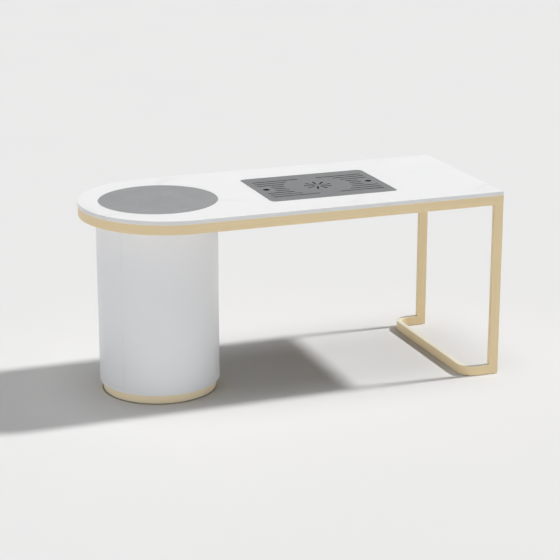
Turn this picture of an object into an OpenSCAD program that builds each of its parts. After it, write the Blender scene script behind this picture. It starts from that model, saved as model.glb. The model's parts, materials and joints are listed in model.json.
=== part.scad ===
// Manicure table: a stone worktop with one round end, carried by a storage drum at the
// round end and by a steel leg frame at the square end, with a dust collector set into it.
// Millimetres. The origin is on the floor under the middle of the footprint. +X runs to
// the leg end, +Y to the technician's side and +Z up.

/* [Worktop] */
// Overall length of the worktop
top_l = 1600; // [1560:10:1800]
// Depth of the worktop, and the diameter of its round end
top_d = 700; // [660:10:760]
// Height of the worktop's upper face above the floor
top_h = 750; // [740:5:780]
// Thickness of the stone slab
slab_t = 15; // [12:1:18]
// Thickness of the board under the slab
board_t = 18; // [15:1:18]

/* [Steel frame] */
// Height of the rails under the slab, and the face width of the legs
tube_w = 38; // [38:1:42]
// Thickness of the rails, the legs and the foot bar
tube_t = 20; // [18:1:22]
// Wall of the steel tube
tube_wall = 1.5; // [1:0.5:2]
// How far the foot bar reaches in from the square end
foot_reach = 150; // [130:5:170]
// Outer radius of the foot bar's two bends
foot_bend_r = 65; // [50:5:80]
// Thickness of the pads that the table stands on
pad_t = 2; // [1:0.5:3]

/* [Storage drum] */
// Outer radius of the drum
drum_r = 234; // [230:1:238]
// Distance of the drum's axis outward from the centre of the round end
drum_off = 52; // [46:1:58]
// Wall of the drum and of its door
drum_wall = 15; // [13:1:15]
// Half of the angle that the door covers
door_half = 38.3; // [36:0.1:40]
// Radius of the gold plinth
plinth_r = 221; // [215:1:225]
// Height of the plinth above its pads
plinth_h = 36; // [30:1:40]
// Radius of the grey inlay over the drum
disc_r = 228; // [225:1:232]

/* [Dust collector] */
// Distance of the collector from the middle of the table
collector_x = 160; // [150:5:170]
// Length of the lift-off grille plate
plate_l = 522; // [518:2:530]
// Width of the lift-off grille plate
plate_w = 384; // [380:2:390]
// Thickness of the grille plate
plate_t = 1.5; // [1:0.5:2]
// Slots on each side of the plate
slot_rows = 9; // [7:2:9]
// Tapered slots in the middle of the plate
ray_count = 9; // [8:1:12]
// Radius of the two finger holes
finger_r = 13.5; // [12:0.5:14]
// Fan blades
blade_count = 7; // [5:1:9]

/* [Hidden] */
$fn = 128;
eps = 0.01;

// Colours
gold = "#D1BE98";
stone_white = "#F4F4F4";
stone_grey = "#A1A2A4";
lacquer = "#E6E6E9";
ply = "#D9BE91";
steel = "#8D8E90";
bright = "#C8CACC";
black = "#2A2B2D";
rubber = "#3A3A3A";
paper = "#EFEDE4";

// Worktop levels and plan
top_r = top_d / 2;
end_x = top_l / 2;
bow_x = -end_x + top_r;
slab_z = top_h - slab_t;
board_z = slab_z - board_t;
rail_z = slab_z - tube_w;
board_gap = 0.5;
inner_r = top_r - tube_t;

// Cross rails lie flat under the board
cross_w = 40;
cross_h = tube_w - board_t;
drum_x = bow_x - drum_off;
cross_from_drum = 118;
tray_l = plate_l - 34;
tray_w = plate_w - 34;
cross_from_tray = 46;
cross_x = [
    drum_x - cross_from_drum,
    drum_x + cross_from_drum,
    collector_x - tray_l / 2 - cross_from_tray,
    collector_x + tray_l / 2 + cross_from_tray
];
board_screw_y = 250;
board_screw_r = 2;

// Legs and foot
leg_x = end_x - tube_w;
leg_z = rail_z - pad_t;
leg_cap = 8;
leg_y = top_r - tube_t / 2;
bolt_from_mid = 10;
bolt_r = 4;
foot_x = end_x - foot_reach;

// Drum levels
panel_t = 18;
base_z = pad_t + plinth_h;
shell_z = base_z + panel_t;
shell_top = rail_z - panel_t;
shell_h = shell_top - shell_z;
inside_r = drum_r - drum_wall;
hinge_a = 180 - door_half;
latch_a = 180 + door_half;
seam_a = 0.4;
door_gap = 2;
post_depth = 28;
post_a = 7;
stop_a = 2.5;
stop_gap = 0.5;
shelf_t = 15;
shelf_r = inside_r - 2.5;
shelf_z = [shell_z + shell_h * 0.32, shell_z + shell_h * 0.66];
shelf_pin_a = [40, 115, 245, 320];
shelf_pin_r = 2.5;
shelf_pin_in = 8;
shelf_pin_out = 12;
drum_screw_a = [0, 60, 120, 240, 300];
drum_screw_r = 2.5;
drum_bolt_y = 100;
drum_bolt_r = 3;

// Door hinges
pivot_out = 5.5;
pivot_r = drum_r + pivot_out;
knuckle_r = 4.5;
pin_r = 2;
leaf_h = 60;
leaf_t = 2;
leaf_a = 6.3;
leaf_gap_a = 0.2;
leaf_notch_a = 1.4;
knuckle_h = 29.4;
hinge_z = [shell_z + 95, shell_top - 95];
leaf_screw_a = 3.9;
leaf_screw_z = [-20, 20];
leaf_screw_r = 1.75;

// Push latch under the drum's top
latch_y = -60;
latch_h = 20;
latch_z = shell_top - latch_h / 2;
latch_l = 57;
plunger_r = 4;
plunger_l = 46;
strike_t = 1.5;
strike_gap = 0.4;
nose_r = inside_r - strike_t - strike_gap - plunger_r;
nose_x = drum_x - sqrt(nose_r * nose_r - latch_y * latch_y);
latch_x = nose_x + 10;
strike_a = 180 + asin(-latch_y / inside_r);

// Grille plate
recess = 0.5;
plate_z = top_h - recess - plate_t;
plate_corner = 22;
cutout_gap = 1;
seal_t = 1;
disc_x = drum_x + 6;
slot_w = 8;
slot_pitch = 30.5;
slot_far = 228;
slot_near = 181;
slot_circle = 138;
slot_long = 42;
ray_in = 12;
ray_out = 52;
ray_half_in = 1.8;
ray_half_out = 5;
finger_x = 216;

// Collector tray, filter and fan, from the plate down
flange_t = 4;
skin_t = 3;
flange_top = plate_z - seal_t;
flange_z = flange_top - flange_t;
filter_open = 284;
housing_l = 308;
housing_w = 320;
housing_h = 32;
housing_z = rail_z - housing_h;
lip_w = 12;
lip_screw_y = [-130, 0, 130];
slide_gap = 0.6;
drawer_h = 26;
drawer_z = housing_z + skin_t + 0.3;
panel_th = 5;
pull_w = 15;
pleats = 24;
media_t = 2.5;
fan_w = 200;
fan_h = 36;
fan_z = housing_z - fan_h;
fan_bore = 93;
blade_tip = 91;
hub_r = 32;
motor_r = 27;
shaft_r = 4;
run_gap = 0.05;
guard_t = 2;
fan_screw = 90;
fan_screw_r = 2;

// Controls beside the filter housing
ctrl_x = collector_x + 170;
ctrl_l = 68;
ctrl_y = 150;
ctrl_d = 90;
ctrl_h = 42;
ctrl_wall = 2.5;
ctrl_z = rail_z - ctrl_h;
knob_x = ctrl_x + 20;
inlet_x = ctrl_x + 50;
dial_z = ctrl_z + ctrl_h / 2;
knob_r = 13;
knob_h = 16;
stem_r = 3;
bush_r = 4;
inlet_r = 5.5;
jack_r = 3;

// Rectangle with round corners, centred
module round_rect(l, w, r) {
    square([l - 2 * r, w], center = true);
    square([l, w - 2 * r], center = true);
    for (sx = [-1, 1])
        for (sy = [-1, 1])
            translate([sx * (l / 2 - r), sy * (w / 2 - r)]) circle(r);
}

// Frame of even width between two round-cornered rectangles
module round_frame(l, w, r, band, h) {
    linear_extrude(h)
        difference() {
            round_rect(l, w, r);
            round_rect(l - 2 * band, w - 2 * band, max(r - band, 1));
        }
}

// Worktop outline, set in by a distance
module plan(inset) {
    translate([bow_x, 0]) circle(top_r - inset);
    translate([bow_x, inset - top_r]) square([end_x - bow_x - inset, top_d - 2 * inset]);
}

// Rectangular tube along one axis, with closed ends of the given thickness (0 is open)
module tube(size, axis, cap_lo, cap_hi) {
    lo = [for (i = [0:2]) i == axis ? (cap_lo > 0 ? cap_lo : -eps) : tube_wall];
    hi = [for (i = [0:2]) i == axis ? (cap_hi > 0 ? cap_hi : -eps) : tube_wall];
    difference() {
        cube(size);
        translate(lo) cube(size - lo - hi);
    }
}

// Sector of a ring about the drum's axis
module sector(r0, r1, a0, a1, h) {
    rotate([0, 0, a0])
        rotate_extrude(angle = a1 - a0)
            translate([r0, 0]) square([r1 - r0, h]);
}

// Places its children on the drum at a radius, an angle and a height, with X outward
module on_drum(r, a, z) {
    translate([drum_x, 0, z]) rotate([0, 0, a]) translate([r, 0, 0]) children();
}

// Cylinder along the drum's radius
module radial_rod(r0, r1, a, z, r) {
    on_drum(r0, a, z) rotate([0, 90, 0]) cylinder(r = r, h = r1 - r0);
}

// Screw pointing up, with its head below the given height
module screw_up(r, l, head_r, head_h) {
    cylinder(r = r, h = l);
    translate([0, 0, -head_h]) cylinder(r = head_r, h = head_h);
}

module stone_top() {
    color(stone_white)
        translate([0, 0, slab_z])
            linear_extrude(slab_t)
                difference() {
                    plan(0);
                    translate([disc_x, 0]) circle(disc_r + cutout_gap);
                    translate([collector_x, 0])
                        round_rect(plate_l + 2 * cutout_gap, plate_w + 2 * cutout_gap, plate_corner);
                }
}

module disc_inlay() {
    color(stone_grey)
        translate([disc_x, 0, slab_z]) cylinder(r = disc_r, h = slab_t - recess);
}

module substrate_board() {
    color(ply)
        difference() {
            translate([0, 0, board_z])
                linear_extrude(board_t)
                    difference() {
                        plan(tube_t + board_gap);
                        translate([collector_x, 0]) round_rect(tray_l + 6, tray_w + 6, 20);
                    }
            for (x = cross_x)
                for (s = [-1, 1])
                    translate([x, s * board_screw_y, board_z - 1]) cylinder(r = board_screw_r, h = 13);
        }
}

// Holes that the leg bolts pass through, from inside the rail
module bolt_holes(side) {
    for (s = [-1, 1])
        translate([end_x - tube_w / 2 + s * bolt_from_mid, side * leg_y, rail_z]) {
            translate([0, 0, -1]) cylinder(r = bolt_r + 0.3, h = tube_wall + 2);
            translate([0, 0, tube_w - tube_wall - 1]) cylinder(r = bolt_r + 3.5, h = tube_wall + 2);
        }
}

module long_rail(side) {
    color(gold)
        difference() {
            translate([bow_x, side * leg_y - tube_t / 2, rail_z])
                tube([end_x - bow_x, tube_t, tube_w], 0, 0, tube_wall);
            bolt_holes(side);
        }
}

module front_rail() {
    long_rail(-1);
}

module rear_rail() {
    long_rail(1);
}

module end_rail() {
    color(gold)
        translate([end_x - tube_t, -inner_r, rail_z]) tube([tube_t, 2 * inner_r, tube_w], 1, 0, 0);
}

module bow_rail() {
    color(gold)
        translate([bow_x, 0, rail_z])
            rotate([0, 0, 90])
                rotate_extrude(angle = 180)
                    translate([inner_r, 0])
                        difference() {
                            square([tube_t, tube_w]);
                            translate([tube_wall, tube_wall])
                                square([tube_t - 2 * tube_wall, tube_w - 2 * tube_wall]);
                        }
}

// Flat cross rail, cut to the curve where it lies in the round end
module cross_rail(i) {
    x = cross_x[i];
    color(gold)
        difference() {
            intersection() {
                translate([x - cross_w / 2, -inner_r, rail_z])
                    tube([cross_w, 2 * inner_r, cross_h], 1, 0, 0);
                if (x < bow_x)
                    translate([bow_x, 0, rail_z - 1]) cylinder(r = inner_r, h = cross_h + 2);
                else
                    translate([x - cross_w, -top_r, rail_z - 1]) cube([2 * cross_w, top_d, cross_h + 2]);
            }
            for (s = [-1, 1]) {
                translate([x, s * board_screw_y, rail_z - 1])
                    cylinder(r = board_screw_r + 0.3, h = cross_h + 2);
                if (i < 2)
                    translate([x, s * drum_bolt_y, rail_z - 1]) cylinder(r = drum_bolt_r, h = tube_wall + 2);
            }
        }
}

module leg(side) {
    color(gold)
        difference() {
            translate([leg_x, side * leg_y - tube_t / 2, pad_t])
                tube([tube_w, tube_t, leg_z], 2, tube_wall, leg_cap);
            for (s = [-1, 1])
                translate([end_x - tube_w / 2 + s * bolt_from_mid, side * leg_y, rail_z - leg_cap - 1])
                    cylinder(r = bolt_r, h = leg_cap + 2);
        }
}

module front_leg() {
    leg(-1);
}

module rear_leg() {
    leg(1);
}

// Outline of the foot's U, set in by a distance and cut off at the legs
module foot_outline(inset) {
    r = foot_bend_r - inset;
    intersection() {
        translate([end_x, 0]) round_rect(2 * (foot_reach - inset), top_d - 2 * inset, r);
        translate([foot_x - 1, -top_r]) square([leg_x - foot_x + 1, top_d]);
    }
}

module foot_bar() {
    color(gold)
        translate([0, 0, pad_t])
            difference() {
                linear_extrude(tube_w)
                    difference() {
                        foot_outline(0);
                        foot_outline(tube_t);
                    }
                translate([0, 0, tube_wall])
                    linear_extrude(tube_w - 2 * tube_wall)
                        difference() {
                            foot_outline(tube_wall);
                            foot_outline(tube_t - tube_wall);
                        }
            }
}

module leg_bolts() {
    color(bright)
        for (side = [-1, 1])
            for (s = [-1, 1])
                translate([end_x - tube_w / 2 + s * bolt_from_mid, side * leg_y, rail_z - 14]) {
                    cylinder(r = bolt_r, h = 14 + tube_wall);
                    translate([0, 0, 14 + tube_wall]) cylinder(r = 6.5, h = 5);
                }
}

module board_screws() {
    color(bright)
        for (x = cross_x)
            for (s = [-1, 1])
                translate([x, s * board_screw_y, rail_z]) screw_up(board_screw_r, cross_h + 12, 4, 2.5);
}

module floor_pads() {
    color(rubber) {
        for (s = [-1, 1]) {
            translate([end_x - tube_w / 2, s * leg_y, 0]) cylinder(r = 8, h = pad_t);
            translate([foot_x + tube_t / 2, s * top_r * 0.6, 0]) cylinder(r = 8, h = pad_t);
        }
        for (a = [45:90:315])
            on_drum(plinth_r - 26, a, 0) cylinder(r = 18, h = pad_t);
    }
}

module plinth_core() {
    color(ply) translate([drum_x, 0, pad_t]) cylinder(r = plinth_r - 1, h = plinth_h);
}

module plinth_band() {
    color(gold)
        translate([drum_x, 0, pad_t])
            difference() {
                cylinder(r = plinth_r, h = plinth_h);
                translate([0, 0, -1]) cylinder(r = plinth_r - 1, h = plinth_h + 2);
            }
}

// Screws that hold the drum's wall between its base and its top
module wall_screws(grow) {
    r = drum_r - drum_wall / 2;
    for (a = drum_screw_a) {
        on_drum(r, a, base_z) {
            cylinder(r = drum_screw_r + grow, h = panel_t + 36);
            cylinder(r = 4.5 + grow, h = 3);
        }
        on_drum(r, a, shell_top - 36) {
            cylinder(r = drum_screw_r + grow, h = panel_t + 36);
            translate([0, 0, panel_t + 33]) cylinder(r = 4.5 + grow, h = 3);
        }
    }
}

module drum_screws() {
    color(bright) wall_screws(0);
}

module drum_base() {
    color(lacquer)
        difference() {
            translate([drum_x, 0, base_z]) cylinder(r = drum_r, h = panel_t);
            wall_screws(0);
        }
}

module drum_top() {
    color(lacquer)
        difference() {
            translate([drum_x, 0, shell_top]) cylinder(r = drum_r, h = panel_t);
            wall_screws(0);
            for (i = [0:1])
                for (s = [-1, 1])
                    translate([cross_x[i], s * drum_bolt_y, shell_top - 1])
                        cylinder(r = drum_bolt_r + 0.3, h = panel_t + 2);
        }
}

// Shelf pins, and the holes that hold them
module shelf_pin_rods() {
    for (z = shelf_z)
        for (a = shelf_pin_a)
            radial_rod(inside_r - shelf_pin_out, inside_r + shelf_pin_in, a, z - shelf_pin_r, shelf_pin_r);
}

// Screws through one hinge leaf, to a depth inside the drum's surface
module leaf_screw_rods(a, depth) {
    for (z = hinge_z)
        for (dz = leaf_screw_z)
            radial_rod(drum_r - depth, drum_r + leaf_t, a, z + dz, leaf_screw_r);
}

module leaf_screw_heads(a) {
    for (z = hinge_z)
        for (dz = leaf_screw_z)
            radial_rod(drum_r + leaf_t, drum_r + leaf_t + 2, a, z + dz, 3.2);
}

module drum_shell() {
    color(lacquer)
        difference() {
            translate([drum_x, 0, shell_z]) sector(inside_r, drum_r, latch_a, hinge_a + 360, shell_h);
            wall_screws(0);
            shelf_pin_rods();
            leaf_screw_rods(hinge_a - leaf_screw_a, 30);
        }
}

// Upright behind a seam: it stiffens the wall's edge, and the door closes against the
// stretch past the seam, which is shaved back
module post(a, into_wall) {
    wall_end = a + into_wall * post_a;
    door_end = a - into_wall * stop_a;
    lo = min(wall_end, door_end);
    shaved_lo = min(a, door_end - into_wall);
    translate([drum_x, 0, shell_z])
        difference() {
            sector(inside_r - post_depth, inside_r, lo, lo + post_a + stop_a, shell_h);
            translate([0, 0, -1])
                sector(inside_r - stop_gap, drum_r, shaved_lo, shaved_lo + stop_a + 1, shell_h + 2);
        }
}

module hinge_post() {
    color(ply)
        difference() {
            post(hinge_a, -1);
            leaf_screw_rods(hinge_a - leaf_screw_a, 30);
        }
}

module latch_post() {
    color(ply) post(latch_a, 1);
}

module shelf(z) {
    margin = 1.5;
    color(lacquer)
        translate([drum_x, 0, z])
            difference() {
                cylinder(r = shelf_r, h = shelf_t);
                for (a = [hinge_a - post_a - margin, latch_a - stop_a - margin])
                    translate([0, 0, -1])
                        sector(inside_r - post_depth - 1, inside_r + 5, a,
                               a + post_a + stop_a + 2 * margin, shelf_t + 2);
            }
}

module lower_shelf() {
    shelf(shelf_z[0]);
}

module upper_shelf() {
    shelf(shelf_z[1]);
}

module shelf_pins() {
    color(bright) shelf_pin_rods();
}

module drum_bolts() {
    color(bright)
        for (i = [0:1])
            for (s = [-1, 1])
                translate([cross_x[i], s * drum_bolt_y, shell_top])
                    screw_up(drum_bolt_r, panel_t + tube_wall + 6, 6, 4);
}

module drum_door() {
    color(lacquer)
        difference() {
            translate([drum_x, 0, shell_z + door_gap])
                sector(inside_r, drum_r, hinge_a + seam_a, latch_a - seam_a, shell_h - 2 * door_gap);
            leaf_screw_rods(hinge_a + leaf_screw_a, 12);
        }
}

// Heights of the knuckles on one leaf, from the hinge's middle: the door's leaf has the
// middle one and the frame's leaf has the two end ones
function knuckle_spans(on_door) = on_door
    ? [[-knuckle_h / 2, knuckle_h / 2]]
    : [[-leaf_h / 2, -knuckle_h / 2 - 0.3], [knuckle_h / 2 + 0.3, leaf_h / 2]];

// Hinge leaf, curved to the drum, with tabs that run to the seam and carry its knuckles
module hinge_leaf(z, on_door) {
    side = on_door ? 1 : -1;
    base_lo = on_door ? hinge_a + leaf_notch_a : hinge_a - leaf_a;
    tab_lo = on_door ? hinge_a + leaf_gap_a : hinge_a - leaf_notch_a - 0.1;
    color(bright)
        difference() {
            union() {
                translate([drum_x, 0, z - leaf_h / 2])
                    sector(drum_r, drum_r + leaf_t, base_lo, base_lo + leaf_a - leaf_notch_a, leaf_h);
                for (span = knuckle_spans(on_door)) {
                    translate([drum_x, 0, z + span[0]])
                        sector(drum_r, drum_r + leaf_t, tab_lo,
                               tab_lo + leaf_notch_a + 0.1 - leaf_gap_a, span[1] - span[0]);
                    on_drum(pivot_r, hinge_a, z + span[0]) cylinder(r = knuckle_r, h = span[1] - span[0]);
                }
            }
            on_drum(pivot_r, hinge_a, z - leaf_h / 2 - 1)
                cylinder(r = on_door ? pin_r + run_gap : pin_r, h = leaf_h + 2);
            leaf_screw_rods(hinge_a + side * leaf_screw_a, 1);
        }
}

module lower_frame_leaf() {
    hinge_leaf(hinge_z[0], false);
}

module upper_frame_leaf() {
    hinge_leaf(hinge_z[1], false);
}

module lower_door_leaf() {
    hinge_leaf(hinge_z[0], true);
}

module upper_door_leaf() {
    hinge_leaf(hinge_z[1], true);
}

module hinge_pins() {
    color(bright)
        for (z = hinge_z)
            on_drum(pivot_r, hinge_a, z - leaf_h / 2 - 1) {
                cylinder(r = pin_r, h = leaf_h + 1);
                translate([0, 0, leaf_h + 1]) cylinder(r = 3, h = 1.5);
            }
}

module frame_leaf_screws() {
    color(bright) {
        leaf_screw_rods(hinge_a - leaf_screw_a, 29);
        leaf_screw_heads(hinge_a - leaf_screw_a);
    }
}

module door_leaf_screws() {
    color(bright) {
        leaf_screw_rods(hinge_a + leaf_screw_a, 12);
        leaf_screw_heads(hinge_a + leaf_screw_a);
    }
}

module latch_body() {
    color(black)
        difference() {
            translate([latch_x, latch_y - 8, latch_z - latch_h / 2]) cube([latch_l, 16, latch_h]);
            translate([latch_x - 1, latch_y, latch_z])
                rotate([0, 90, 0]) cylinder(r = plunger_r + run_gap, h = latch_l - 8);
        }
}

module latch_plunger() {
    color(bright)
        translate([nose_x, latch_y, latch_z]) {
            rotate([0, 90, 0]) cylinder(r = plunger_r, h = plunger_l);
            sphere(r = plunger_r);
        }
}

module door_strike() {
    color(steel)
        translate([drum_x, 0, latch_z - 9])
            sector(inside_r - strike_t, inside_r, strike_a - 4, strike_a + 4, 15);
}

// Straight slot with round ends, along X
module slot2d(x0, x1, y) {
    translate([x0, y - slot_w / 2]) square([x1 - x0, slot_w]);
    for (x = [x0, x1])
        translate([x, y]) circle(slot_w / 2);
}

// Slots on one side: their inner ends follow a circle, the first and last row run further
// in, and the middle three stop short of the finger hole
module slot_bank(side) {
    last = (slot_rows - 1) / 2;
    mirror([side < 0 ? 1 : 0, 0])
        for (i = [-last:last]) {
            y = i * slot_pitch;
            near = abs(i) == last ? slot_long : sqrt(slot_circle * slot_circle - y * y);
            slot2d(near, abs(i) <= 1 ? slot_near : slot_far, y);
        }
}

// Slots that widen outward from the middle
module rays() {
    for (i = [0:ray_count - 1])
        rotate(i * 360 / ray_count + 90) {
            polygon([
                [ray_in, -ray_half_in], [ray_out, -ray_half_out],
                [ray_out, ray_half_out], [ray_in, ray_half_in],
            ]);
            translate([ray_out, 0]) circle(ray_half_out);
        }
}

module grille_plate() {
    color(steel)
        translate([collector_x, 0, plate_z])
            linear_extrude(plate_t)
                difference() {
                    round_rect(plate_l, plate_w, plate_corner - cutout_gap);
                    for (side = [-1, 1]) {
                        slot_bank(side);
                        translate([side * finger_x, 0]) circle(finger_r);
                    }
                    rays();
                }
}

module plate_seal() {
    color(rubber)
        translate([collector_x, 0, flange_top])
            round_frame(plate_l - 6, plate_w - 6, plate_corner - 4, 12, seal_t);
}

module collector_tray() {
    color(black)
        translate([collector_x, 0, 0])
            difference() {
                union() {
                    translate([0, 0, flange_z])
                        round_frame(plate_l, plate_w, plate_corner - cutout_gap, 20, flange_t);
                    translate([0, 0, slab_z])
                        round_frame(plate_l, plate_w, plate_corner - cutout_gap, skin_t, flange_z - slab_z);
                    translate([0, 0, rail_z])
                        round_frame(tray_l, tray_w, 17, skin_t, flange_z - rail_z + 1);
                    translate([0, 0, rail_z])
                        linear_extrude(skin_t)
                            difference() {
                                round_rect(tray_l, tray_w, 17);
                                round_rect(filter_open, filter_open, 15);
                            }
                }
                lip_screws(0);
            }
}

// Screws up through the filter housing's lips, about the collector's centre
module lip_screws(head_r) {
    for (s = [-1, 1])
        for (y = lip_screw_y)
            translate([s * (housing_l + lip_w) / 2, y, rail_z - skin_t])
                if (head_r > 0)
                    screw_up(1.75, 2 * skin_t, head_r, 2.5);
                else
                    cylinder(r = 1.75, h = 2 * skin_t);
}

module housing_screws() {
    color(bright) translate([collector_x, 0, 0]) lip_screws(3.5);
}

module filter_housing() {
    color(black)
        translate([collector_x, 0, 0])
            difference() {
                union() {
                    translate([-housing_l / 2, -housing_w / 2, housing_z])
                        cube([housing_l, housing_w, housing_h]);
                    translate([-housing_l / 2 - lip_w, -housing_w / 2, rail_z - skin_t])
                        cube([housing_l + 2 * lip_w, housing_w, skin_t]);
                }
                translate([-housing_l / 2 + skin_t, -housing_w / 2 + skin_t, housing_z + skin_t])
                    cube([housing_l - 2 * skin_t, housing_w, housing_h]);
                translate([0, 0, housing_z - 1]) cylinder(r = fan_bore, h = skin_t + 2);
                lip_screws(0);
                fan_holes(fan_screw_r);
            }
}

// Frame with a ledge that carries the filter, and a panel with a pull on the rear side
module filter_drawer() {
    w = housing_l - 2 * skin_t - 2 * slide_gap;
    y0 = -housing_w / 2 + skin_t + slide_gap;
    y1 = housing_w / 2 + 0.3;
    color(black)
        translate([collector_x, 0, drawer_z]) {
            difference() {
                translate([-w / 2, y0, 0]) cube([w, y1 - y0, drawer_h]);
                translate([-w / 2 + skin_t, y0 + skin_t, 2])
                    cube([w - 2 * skin_t, y1 - y0 - 2 * skin_t, drawer_h]);
                translate([-w / 2 + 12, y0 + 12, -1]) cube([w - 24, y1 - y0 - 24, 4]);
            }
            translate([-housing_l / 2 - 4, y1, -skin_t]) cube([housing_l + 8, panel_th, drawer_h + skin_t]);
            translate([-40, y1 + panel_th, -skin_t]) cube([80, pull_w, skin_t]);
        }
}

module filter_media() {
    w = housing_l - 4 * skin_t - 2 * slide_gap - 2;
    y0 = -housing_w / 2 + 2 * skin_t + slide_gap + 1;
    y1 = housing_w / 2 + 0.3 - skin_t - 1;
    z0 = drawer_z + 2;
    zig = [for (i = [0:2 * pleats]) [-w / 2 + i * w / (2 * pleats), i % 2 == 0 ? 0 : drawer_h - 6]];
    zag = [for (i = [2 * pleats:-1:0]) zig[i] + [0, media_t]];
    color(paper)
        translate([collector_x, y1, z0])
            rotate([90, 0, 0]) linear_extrude(y1 - y0) polygon(concat(zig, zag));
}

// Holes for the four screws through the guard, the fan and the housing
module fan_holes(r) {
    for (sx = [-1, 1])
        for (sy = [-1, 1])
            translate([sx * fan_screw, sy * fan_screw, fan_z - guard_t - 1])
                cylinder(r = r, h = fan_h + guard_t + skin_t + 2);
}

module fan_frame() {
    strut_h = 4;
    color(black)
        translate([collector_x, 0, 0])
            difference() {
                union() {
                    translate([0, 0, fan_z])
                        linear_extrude(fan_h)
                            difference() {
                                round_rect(fan_w, fan_w, 10);
                                circle(fan_bore);
                            }
                    translate([0, 0, fan_z]) cylinder(r = 30, h = strut_h);
                    for (a = [45, 135])
                        translate([0, 0, fan_z])
                            rotate([0, 0, a]) translate([-fan_bore - 2, -4, 0]) cube([2 * fan_bore + 4, 8, strut_h]);
                }
                fan_holes(fan_screw_r + 0.3);
            }
}

module fan_motor() {
    color(bright)
        translate([collector_x, 0, fan_z + 4]) {
            cylinder(r = motor_r, h = 18);
            cylinder(r = shaft_r, h = 27);
        }
}

module fan_rotor() {
    cup_z = fan_z + 9;
    cup_h = 21;
    chord = 48;
    pitch = 30;
    color(black)
        translate([collector_x, 0, 0])
            difference() {
                union() {
                    translate([0, 0, cup_z]) cylinder(r = hub_r, h = cup_h);
                    intersection() {
                        for (i = [0:blade_count - 1])
                            rotate([0, 0, i * 360 / blade_count])
                                translate([0, 0, fan_z + 19.5])
                                    rotate([pitch, 0, 0])
                                        translate([hub_r - 4, -chord / 2, -1.25])
                                            cube([blade_tip, chord, 2.5]);
                        translate([0, 0, fan_z]) cylinder(r = blade_tip, h = fan_h);
                    }
                }
                translate([0, 0, cup_z - 10]) cylinder(r = motor_r + 2, h = cup_h + 6.5);
                translate([0, 0, cup_z]) cylinder(r = shaft_r + run_gap, h = cup_h + 2);
            }
}

module exhaust_guard() {
    rib = 3;
    color(black)
        translate([collector_x, 0, 0])
            difference() {
                translate([0, 0, fan_z - guard_t])
                    linear_extrude(guard_t) {
                        difference() {
                            round_rect(fan_w, fan_w, 10);
                            circle(fan_bore);
                        }
                        for (r = [18:18:90])
                            difference() {
                                circle(r + rib);
                                circle(r);
                            }
                        for (a = [0:60:120])
                            rotate(a) square([2 * fan_bore + 4, rib], center = true);
                    }
                fan_holes(fan_screw_r + 0.3);
            }
}

module fan_screws() {
    color(bright)
        translate([collector_x, 0, fan_z - guard_t])
            for (sx = [-1, 1])
                for (sy = [-1, 1])
                    translate([sx * fan_screw, sy * fan_screw, 0])
                        screw_up(fan_screw_r, guard_t + fan_h + skin_t, 4, 2.5);
}

module control_box() {
    color(black)
        difference() {
            translate([ctrl_x, ctrl_y - ctrl_d, ctrl_z]) cube([ctrl_l, ctrl_d, ctrl_h]);
            translate([ctrl_x + ctrl_wall, ctrl_y - ctrl_d + ctrl_wall, ctrl_z + ctrl_wall])
                cube([ctrl_l - 2 * ctrl_wall, ctrl_d - 2 * ctrl_wall, ctrl_h]);
            translate([knob_x, ctrl_y + 1, dial_z])
                rotate([90, 0, 0]) cylinder(r = bush_r + 0.1, h = ctrl_wall + 2);
            translate([inlet_x, ctrl_y + 1, dial_z])
                rotate([90, 0, 0]) cylinder(r = inlet_r + 0.1, h = ctrl_wall + 2);
        }
}

// Rotary control: body inside the box, threaded bush through its face, and a nut
module speed_control() {
    color(bright)
        translate([knob_x, ctrl_y, dial_z])
            rotate([-90, 0, 0])
                difference() {
                    union() {
                        translate([0, 0, -ctrl_wall - 12]) cylinder(r = 10, h = 12);
                        translate([0, 0, -ctrl_wall]) cylinder(r = bush_r, h = ctrl_wall + 4);
                        cylinder(r = 7, h = 2, $fn = 6);
                    }
                    translate([0, 0, -ctrl_wall - 8]) cylinder(r = stem_r + run_gap, h = 30);
                }
}

module control_shaft() {
    color(bright)
        translate([knob_x, ctrl_y - ctrl_wall - 7, dial_z])
            rotate([-90, 0, 0]) cylinder(r = stem_r, h = ctrl_wall + 7 + knob_h);
}

// Knob with grip flutes and a pointer groove on its face
module control_knob() {
    knob_y = 4.5;
    flutes = 12;
    color(black)
        translate([knob_x, ctrl_y + knob_y, dial_z])
            rotate([-90, 0, 0])
                difference() {
                    cylinder(r = knob_r, h = knob_h);
                    translate([0, 0, -1]) cylinder(r = stem_r, h = knob_h - knob_y + 1);
                    for (i = [0:flutes - 1])
                        rotate([0, 0, i * 360 / flutes])
                            translate([knob_r + 0.8, 0, 3]) cylinder(r = 2, h = knob_h, $fn = 24);
                    translate([2, -0.6, knob_h - 1]) cube([knob_r - 4, 1.2, 2]);
                }
}

// Low-voltage inlet with a centre contact
module power_inlet() {
    color(black)
        translate([inlet_x, ctrl_y, dial_z])
            rotate([-90, 0, 0]) {
                difference() {
                    union() {
                        translate([0, 0, -14]) cylinder(r = inlet_r, h = 14);
                        cylinder(r = 8, h = 2);
                    }
                    translate([0, 0, -10]) cylinder(r = jack_r, h = 13);
                }
                translate([0, 0, -11]) cylinder(r = 1, h = 10, $fn = 24);
            }
}

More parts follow.
